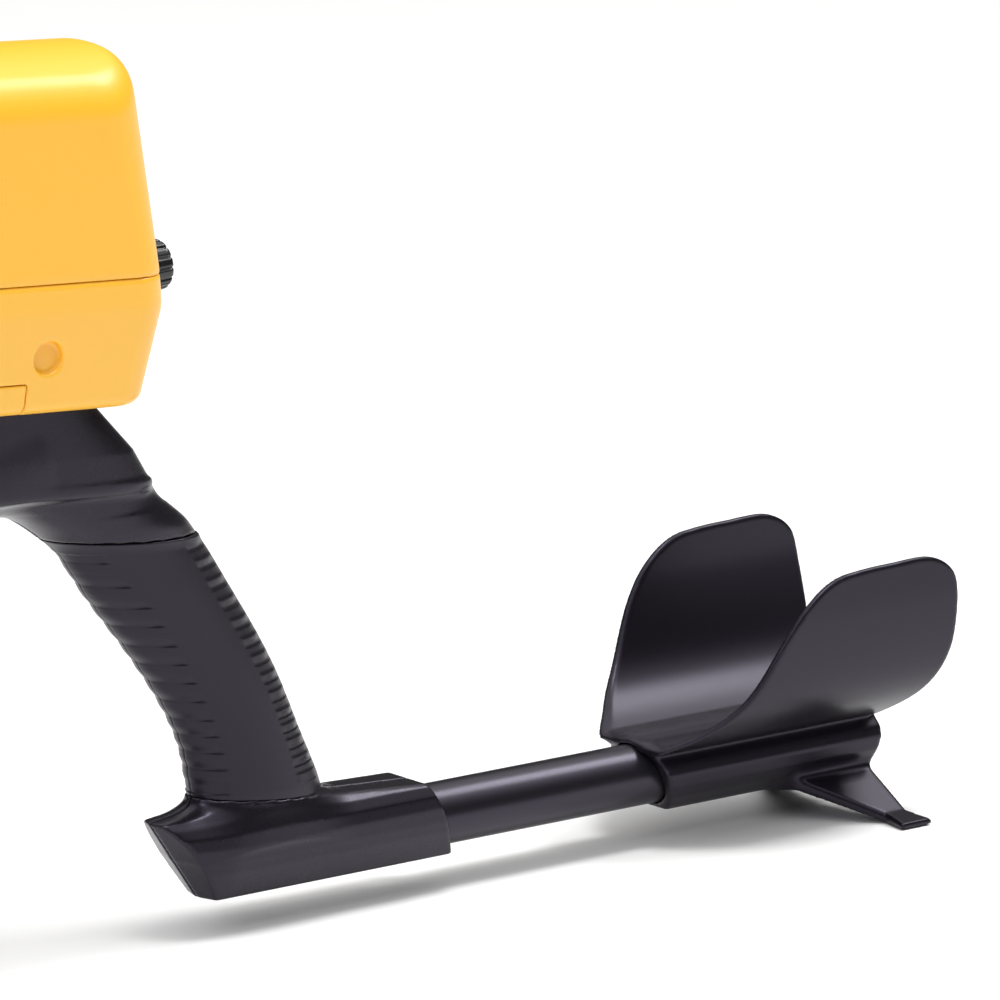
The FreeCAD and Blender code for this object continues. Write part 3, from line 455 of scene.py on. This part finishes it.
def make_sleeve():
    """Ribbed sleeve: sections of the grip pushed in by finger ribs and thumb ledges."""
    rows, columns = 400, 240
    angle = (np.arange(columns) * 2 * math.pi / columns)[None, :]
    t = np.linspace(0, 1, rows)[:, None]
    x = np.full((rows, columns), -95.0)
    z = np.full((rows, columns), 60.0)
    for _ in range(12):
        z = ring_low(x) * (1 - t) + (ring_top(x) - 0.2) * t
        centre, a, b = grip_section(z)
        x = centre - a * np.cos(angle)
    away = np.degrees(np.abs((angle + math.pi) % (2 * math.pi) - math.pi)) + 0 * z

    far_from_ribs = 9.0

    def ribs(spots):
        """Height above the nearest rib's line."""
        phase = np.interp(z, spots, np.arange(len(spots)))
        below = np.round(phase)
        pitch = np.interp(z, spots, np.gradient(np.array(spots, float)))
        gap = (phase - below) * pitch
        live = (z > spots[0] - 3) & (z < spots[-1] + 3)
        return np.where(live, gap, far_from_ribs)

    gap = ribs(RIB_FRONT)
    end = np.interp(z, [27, 39, 51, 65, 79, 93, 110], [47, 49, 52, 55, 59, 60, 49])
    strength = 0.30 + 0.80 * np.clip(away / end, 0, 1) ** 6
    strength = strength * np.clip((end + 2.5 - away) / 5.0, 0, 1)
    groove = -np.where(gap > 0, np.exp(-(gap / 1.5) ** 2), np.exp(-(gap / 0.45) ** 2)) * strength * 0.62
    bulge = 0.16 * np.cos(gap / 7 * 2 * math.pi + math.pi) * np.clip((end + 4 - away) / 18, 0, 1)
    gap = ribs(RIB_REAR)
    start = np.interp(z, [27, 60, 113], [113, 117, 120])
    strength = np.clip((away - start + 1.5) / 4, 0, 1) * np.clip((163 - away) / 22, 0, 1)
    ledge = np.where(gap > 0, np.exp(-(gap / 0.7) ** 2), np.exp(-(gap / 1.6) ** 2)) * 0.30 * strength
    undercut = -0.30 * np.exp(-((gap + 2.4) / 1.3) ** 2) * strength
    seam = -0.3 * np.exp(-(away / 1.2) ** 2) - 0.3 * np.exp(-((180 - away) / 1.2) ** 2)
    edge = np.minimum(t, 1 - t) * 96
    rim = -0.5 * np.clip(1 - edge / 0.6, 0, 1) ** 2 * (t > 0.5)
    rim = rim + np.where(t < 0.5, -0.5, 0.8) * np.clip(1 - edge / 4.0, 0, 1) ** 2
    push = groove + bulge + ledge + undercut + seam + rim
    nx = -np.cos(angle) / a
    ny = -np.sin(angle) / b
    size = np.hypot(nx, ny)
    x = x + push * nx / size
    y = -b * np.sin(angle) + push * ny / size
    outer = np.stack([x, y, z], 2)
    middle = np.stack([centre, 0 * y, z], 2)
    shell = outer.reshape(-1, 3)
    inner_low = (middle[0] + (outer[0] - middle[0]) * 0.86)
    inner_top = (middle[-1] + (outer[-1] - middle[-1]) * 0.86)
    points = np.concatenate([inner_low, shell, inner_top])
    faces = [f[::-1] for f in grid_faces(rows + 2, columns)]
    add_piece("ribbed_sleeve", points, faces, TUBE, "frame", ["grip_sleeve"])


make_sleeve()

# ---- arm cuff ----

CUFF_LINE = [(15.5, 11.2), (26, 17.6), (36.4, 30), (42.2, 50), (43.7, 62), (44.2, 76)]
CUFF_OUTLINE = [(97, 9), (98, 11.5), (108, 18), (120, 30), (131.5, 50), (141, 62), (152.5, 69.5),
                (166, 71.5), (180, 72), (192, 72.3), (199, 71), (205, 67.7), (208.6, 63), (210.2, 55),
                (211, 45), (211, 37.5), (209.2, 29), (205.4, 20), (200, 12.6), (196, 8), (196, -2), (97, -2)]
SLEEVE_HALF = [(0, 12.6), (6, 12.0), (11.6, 9.2), (15.4, 5.2), (16.4, 1.5), (15.2, -3), (12.6, -7.2),
               (8.6, -11.6), (6.8, -12.8)]


def cuff_field(x, y, z):
    side = np.abs(y)
    sweep = np.linspace(0, 5, 60)
    along = np.arange(6)
    line = np.stack([spline(along, [p[0] for p in CUFF_LINE], sweep),
                     spline(along, [p[1] for p in CUFF_LINE], sweep)], 1)
    line = np.concatenate([[(0, 11.2), (15.0, 11.2)], line])
    wall = None
    for (ay, az), (by, bz) in zip(line[:-1], line[1:]):
        dy, dz = by - ay, bz - az
        t = np.clip(((side - ay) * dy + (z - az) * dz) / (dy * dy + dz * dz), 0, 1)
        d = np.hypot(side - ay - t * dy, z - az - t * dz)
        wall = d if wall is None else np.minimum(wall, d)
    wall = wall - 1.4
    shape = outline_field(x, z, eased(CUFF_OUTLINE[:-2], 5) + CUFF_OUTLINE[-2:])
    shell = meet(wall, shape, 1.25)
    outline = SLEEVE_HALF + [(-p[0], p[1]) for p in SLEEVE_HALF[:0:-1]]
    sleeve = outline_field(y, z, outline)
    ends = outline_field(x, z, [(97.4, 20), (97.4, 13), (108, -13), (108, -20), (195.5, -20), (195.5, -13),
                                (199, -6), (200, 4), (200, 20)])
    sleeve = meet(sleeve, ends, 0.9)
    f = smooth_union(shell, sleeve, 3.5)
    low = np.interp(side, [5, 12, 34, 45], [-12.7, -13.7, -24.6, -24.6])
    top = np.interp(side, [5, 12, 33.5, 45], [-6.0, -9.0, -21.0, -22.4])
    first = np.interp(side, [5, 12, 34, 45], [158, 163, 186, 184])
    last = np.interp(side, [5, 12, 34, 45], [197, 197, 196, 198])
    leg = meet(np.maximum(z - top, low - z) * 0.85, np.maximum(first - x, x - last) * 0.75, 0.9)
    leg = meet(leg, np.maximum(side - 45.2, 4 - side), 0.6)
    f = smooth_union(f, leg, 4.0)
    bore = np.maximum(np.hypot(y, z) - TUBE_BORE_R, x - 194.6)
    return np.maximum(cut(f, bore, 0.3), FLOOR_Z + 0.02 - z)


points, faces = skin(cuff_field, (95.2, -47.2, -26.4), (213, 47.2, 75), 0.8)
add_piece("cuff_moulding", points, faces, TUBE, "frame", ["arm_cuff"])

# ---- control box ----

SEAM_Z = 42.2
BOX_LEVELS = [-1, 32, 44, 116]
BOX_REAR = [-0.6, 4.6, 3.1, -4.8]
BOX_FRONT = [-117, -127, -125.4, -108.1]
BOX_HALF = [33, 37.5, 37.5, 35.2]
BOX_CORNER = [13.8, 14.5, 14.8, 28.0]
BOX_TOP = 115.1
CROWN_R = 64.0
WALL = 2.5
RECESS_X, RECESS_Z = -45.5, 18.1
RECESS_R = 5.5
RECESS_FLOOR_Y = 33.0
JACK_R = 4.9
SLOT_PITCH = 5
GRILLE_R = 17.0
SOCKET = inner_frame(BOX, (-122.6, 0, 18), 180 - 16)
SOCKET_R = 7.5
DOOR_MIDDLE, DOOR_HALF = -77.75, 24.75
DOOR_INNER_Y = 5.0
DOOR_TOP = 9.6


def softened(values, z, reach=2.0):
    """Straight-line values by height, with their bends eased."""
    shifts = np.linspace(-reach, reach, 9)
    slope_low = [-20] + BOX_LEVELS[1:-1] + [140]
    first = values[0] - (values[1] - values[0]) * 19 / 33
    final = values[3] + (values[3] - values[2]) * 24 / 72
    return sum(np.interp(z + s, slope_low, [first] + list(values[1:-1]) + [final]) for s in shifts) / 9


def box_field(x, y, z):
    rear, front, half, r = [softened(v, z) for v in (BOX_REAR, BOX_FRONT, BOX_HALF, BOX_CORNER)]
    centre = (rear + front) / 2
    qx = np.abs(x - centre) - ((rear - front) / 2 - r)
    qy = np.abs(y) - (half - r)
    plan = np.hypot(np.maximum(qx, 0), np.maximum(qy, 0)) + np.minimum(np.maximum(qx, qy), 0) - r
    crown = np.hypot(y, np.maximum(z - BOX_TOP + CROWN_R, 0)) - CROWN_R
    return meet(meet(plan, crown, 8.0), -1 - z, 4.2)


def shell_field(x, y, z):
    """Hollow box with its openings, before it is split into mouldings."""
    outer = box_field(x, y, z)
    spot = np.hypot(x - RECESS_X, z - RECESS_Z)
    recess = np.maximum(spot - RECESS_R, RECESS_FLOOR_Y - np.abs(y))
    boss = np.maximum(spot - RECESS_R - 2, RECESS_FLOOR_Y - 3 - np.abs(y))
    inner = cut(outer + WALL, boss, 0.3)
    f = cut(outer, inner, 0.3)
    f = cut(f, recess, 0.7)
    f = cut(f, np.maximum(spot - JACK_R, 15 - y), 0.2)
    n, t, up = local(x, y, z, BOX, PANEL)
    f = cut(f, block_field(n, t, up, (-9, -24, -10.2), (30, 24, 50)), 0.9)
    s, t, up = local(x, y, z, BOX, FRONT)
    row = np.clip(np.round(up / SLOT_PITCH), -3, 3) * SLOT_PITCH
    half = np.sqrt(np.maximum(GRILLE_R ** 2 - row ** 2, 0))
    slot = np.maximum(np.maximum(np.abs(up - row) - 0.9, np.abs(t) - half), np.abs(s) - 7)
    f = cut(f, slot, 0.3)
    s, t, up = local(x, y, z, BOX, SOCKET)
    return cut(f, np.maximum(np.hypot(t, up) - SOCKET_R, np.abs(s) - 12), 0.3)


def door_zone(x, y, z, grow):
    """The battery doors' share of the box, grown by their clearance."""
    across = np.maximum(np.abs(x - DOOR_MIDDLE) - DOOR_HALF - grow, DOOR_INNER_Y - grow - np.abs(y))
    return np.maximum(across, z - DOOR_TOP - grow)


def lower_field(x, y, z):
    f = meet(shell_field(x, y, z), z - (SEAM_Z - 0.12), 0.25)
    return cut(f, door_zone(x, y, z, 0.22), 0.3)


def upper_field(x, y, z):
    return meet(shell_field(x, y, z), SEAM_Z + 0.12 - z, 0.25)


def door_field(side):
    def field(x, y, z):
        zone = door_zone(x, np.maximum(side * y, 0), z, 0.0)
        return meet(meet(shell_field(x, y, z), zone, 0.3), -0.7 - z, 0.3)
    return field


LOWER_STEP = 0.8
UPPER_STEP = 0.88
low_z = SEAM_Z - 0.13 - 56 * LOWER_STEP
points, faces = skin(lower_field, (-130, -40, low_z), (11, 40, 44), LOWER_STEP)
add_piece("lower_shell", points, faces, BOX, "frame", ["housing_lower"])
low_z = SEAM_Z + 0.13 - 3 * UPPER_STEP
points, faces = skin(upper_field, (-129, -40, low_z), (11, 40, 118), UPPER_STEP)
add_piece("upper_shell", points, faces, BOX, "frame", ["housing_upper"])
for side, name in ((-1, "battery_door_left"), (1, "battery_door_right")):
    low = (-104, 3.8, -2.6) if side > 0 else (-104, -39, -2.6)
    high = (-51.5, 39, 11) if side > 0 else (-51.5, -3.8, 11)
    points, faces = skin(door_field(side), low, high, 0.5)
    add_piece(name + "_cover", points, faces, BOX, name, [name])

# ---- knobs ----

KNOB_START = -4.8
KNOB_END = 11.0
KNOB_R = 9.15


def knob_radius(s, r, angles):
    """Flutes cut into the knob's side, fading out near its foot and its outer edge."""
    if r < KNOB_R - 2.5:
        return r * np.ones(len(angles))
    flute = np.maximum(np.cos(angles * 14), 0) ** 3
    live = min(max((s - KNOB_START - 2.5) / 1.5, 0), 1)
    return r - 0.75 * flute * live


for name in ("power", "tune"):
    spot = joints[name + "_turn"]["pos_m"][1] * 1000
    profile = rounded_profile([(KNOB_END, 0.01), (KNOB_END, KNOB_R - 3.2), (KNOB_END - 0.5, KNOB_R - 1.0),
                               (KNOB_END - 1.6, KNOB_R - 0.6), (KNOB_START + 3.4, KNOB_R - 0.35),
                               (KNOB_START + 2.2, KNOB_R), (KNOB_START, KNOB_R), (KNOB_START, KNOB_R - 1.6),
                               (KNOB_START + 3.2, KNOB_R - 1.8), (KNOB_START + 3.2, 0.01)], 0.5, 4)
    points, faces = turned(profile, 168, knob_radius)
    points[:, 1] += spot
    add_piece("knob_" + name + "_cap", points, faces, PANEL, "knob_" + name, ["knob_" + name])

# ---- tubes and stem fittings ----

def tube_piece(name, place, body, node, start, end, outer, wall=1.3):
    corners = [(start, outer), (end, outer), (end, outer - wall), (start, outer - wall)]
    points, faces = turned(rounded_profile(corners, 0.5), 144)
    add_piece(name, points, faces, place, body, [node])


tube_piece("arm_tube_drawn", TUBE, "frame", "arm_tube", TUBE_FRONT_X, 194, TUBE_R)
tube_piece("upper_stem_drawn", STEM, "frame", "upper_stem", 15, 300, TUBE_R)
tube_piece("lower_stem_drawn", STEM, "lower_stem", "lower_stem", 60, STEM_LENGTH - 32, 9.5, 1.2)


def collar_radius(s, r, angles):
    """Grip flutes on the collar's outside, fading out toward both ends."""
    if r < 15:
        return r * np.ones(len(angles))
    live = min(max((s - 291) / 3, 0), 1) * min(max((320 - s) / 4, 0), 1)
    return r - 0.9 * np.maximum(np.cos(angles * 18), 0) ** 4 * live


collar = rounded_profile([(288, 16.6), (314, 16.6), (321, 14.6), (324, 12.6), (324, 9.8), (313, 9.8),
                          (313, 13.3), (288, 13.3)], 1.2)
dense = []
for (s0, r0), (s1, r1) in zip(collar, collar[1:] + collar[:1]):
    for k in range(4):
        dense.append((s0 + (s1 - s0) * k / 4, r0 + (r1 - r0) * k / 4))
points, faces = turned(dense, 216, collar_radius)
add_piece("twist_collar", points, faces, STEM, "lock_collar", ["lock_collar"])

# ---- search coil ----

RING_R = 89.5
RING_HALF = 10.5
HUB_R = 44
SPOKE_HALF = 10
SPOKE_END = 90
COIL_STEP = 1.0


def coil_plan(x, y):
    """Ring, hub and four spokes seen from above, blended into each other."""
    r = np.hypot(x, y)
    ring = np.abs(r - RING_R) - RING_HALF
    hub = r - HUB_R
    u = (x + y) / math.sqrt(2)
    v = (x - y) / math.sqrt(2)
    spokes = np.minimum(np.maximum(np.abs(u) - SPOKE_HALF, np.abs(v) - SPOKE_END),
                        np.maximum(np.abs(v) - SPOKE_HALF, np.abs(u) - SPOKE_END))
    return smooth_union(smooth_union(spokes, hub, 8), ring, 8)


def coil_field(x, y, z):
    plan = coil_plan(x, y)
    body = meet(plan, z - 14, 3.0)
    side = np.abs(y)
    edge = np.interp(z, [13, PIVOT_Z], [22, 9.5])
    ear = np.minimum(np.maximum(np.abs(x) - edge, z - PIVOT_Z) * 0.9, np.hypot(x, z - PIVOT_Z) - 9.6)
    ear = meet(np.maximum(ear, 10 - z), np.abs(side - 10.5) - 2.5, 0.6)
    f = smooth_union(body, ear, 2.5)
    slot = np.maximum(np.maximum(side - 8.0, 14.2 - z), np.abs(x) - 30)
    f = np.maximum(f, -slot)
    f = cut(f, np.hypot(x, z - PIVOT_Z) - 3.25, 0.2)
    return cut(f, np.maximum(np.hypot(x - 20, y - 27) - 5.0, 8 - z), 0.2)


points, faces = skin(lambda x, y, z: meet(coil_field(x, y, z), 6.1 - z, 0.3),
                     (-102, -102, 4.4), (102, 102, 50.4), COIL_STEP)
add_piece("coil_lid", points, faces, COIL, "coil", ["coil_top"])
points, faces = skin(lambda x, y, z: meet(meet(coil_plan(x, y), z - 5.9, 0.3), -z, 2.0),
                     (-102, -102, -1.6), (102, 102, 8), COIL_STEP)
add_piece("coil_tray", points, faces, COIL, "coil", ["coil_bottom"])


def nut_radius(s, r, angles):
    """Six lobes round the nut; its bore stays round."""
    if r < 6:
        return r * np.ones(len(angles))
    return r - 1.5 * (0.5 + 0.5 * np.cos(angles * 6)) ** 2 * (r / 10.5)


SIDEWAYS = (np.array([[0, -1, 0], [1, 0, 0], [0, 0, 1]], float), COIL[1] + [0, 0, PIVOT_Z])
nut = rounded_profile([(13.3, 10.5), (22.3, 10.5), (22.3, 3.25), (13.3, 3.25)], 1.6, 7)
points, faces = turned(nut, 180, nut_radius)
add_piece("hand_nut_lobed", points, faces, SIDEWAYS, "hand_nut", ["coil_hand_nut"])
bolt = rounded_profile([(-17.2, 0.01), (-17.2, 6.5), (-13.0, 6.5), (-13.0, 3.2), (22.3, 3.2),
                        (22.3, 0.01)], 0.8, 5)
points, faces = turned(bolt, 96)
add_piece("clevis_bolt", points, faces, SIDEWAYS, "coil", ["coil_bolt"])

# ---- floor, light and camera ----

def stage_mesh(name, points, faces, mat):
    mesh = bpy.data.meshes.new(name)
    mesh.from_pydata(points, [], faces)
    mesh.materials.append(mat)
    obj = bpy.data.objects.new(name, mesh)
    bpy.context.scene.collection.objects.link(obj)
    return obj


floor_material = material("pale floor", (0.93, 0.93, 0.92), 0.9, grain=6, bump=0.0)
REACH = 30.0
stage_mesh("floor", [(-REACH, -REACH, -0.0002), (REACH, -REACH, -0.0002), (REACH, REACH, -0.0002),
                     (-REACH, REACH, -0.0002)], [(0, 1, 2, 3)], floor_material)

world = bpy.data.worlds.new("studio")
bpy.context.scene.world = world
world.use_nodes = True
sky = world.node_tree.nodes
links = world.node_tree.links
direction = sky.new("ShaderNodeTexCoord")
split = sky.new("ShaderNodeSeparateXYZ")
links.new(direction.outputs["Generated"], split.inputs["Vector"])
dome = sky.new("ShaderNodeMapRange")
dome.interpolation_type = "SMOOTHSTEP"
dome.inputs["From Min"].default_value = 0.42
dome.inputs["From Max"].default_value = 0.80
dome.inputs["To Min"].default_value = 0.06
dome.inputs["To Max"].default_value = 1.42
links.new(split.outputs["Z"], dome.inputs["Value"])
links.new(dome.outputs["Result"], sky["Background"].inputs["Strength"])
sky["Background"].inputs["Color"].default_value = (1.0, 1.0, 1.0, 1)


def area_light(name, spot, target, width, height, power, colour=(1, 1, 1)):
    data = bpy.data.lights.new(name, "AREA")
    data.shape = "RECTANGLE"
    data.size = width
    data.size_y = height
    data.energy = power
    data.color = colour
    obj = bpy.data.objects.new(name, data)
    bpy.context.scene.collection.objects.link(obj)
    obj.location = spot
    obj.rotation_mode = "QUATERNION"
    obj.rotation_quaternion = (Vector(target) - Vector(spot)).to_track_quat("-Z", "Y")
    return obj


HEART = Vector((0.2, 0.0, 0.12))
area_light("overhead", (0.25, -0.30, 1.75), HEART, 0.52, 0.46, 14)
area_light("rear_top", (1.55, -0.10, 1.65), HEART, 0.7, 0.55, 12)
area_light("left", (-1.5, -0.6, 1.1), HEART, 0.5, 0.7, 7, (0.90, 0.91, 1.0))

AZIMUTH = math.radians(-38.6)
ELEVATION = math.radians(12.4)
back = Vector((math.sin(AZIMUTH) * math.cos(ELEVATION), -math.cos(AZIMUTH) * math.cos(ELEVATION),
               math.sin(ELEVATION)))
right = Vector((math.cos(AZIMUTH), math.sin(AZIMUTH), 0))
up = back.cross(right)
aim = (right * 31.3 + up * 108.65 + Vector(ORIGIN)) / 1000
camera = bpy.data.objects.new("camera", bpy.data.cameras.new("camera"))
bpy.context.scene.collection.objects.link(camera)
camera.data.sensor_width = 36
camera.data.lens = 317.2
camera.data.clip_start = 0.1
camera.data.clip_end = 100
camera.location = aim + back * 3.0
camera.rotation_mode = "QUATERNION"
camera.rotation_quaternion = (-back).to_track_quat("-Z", "Y")
bpy.context.scene.camera = camera
bpy.context.scene.view_settings.view_transform = "Standard"
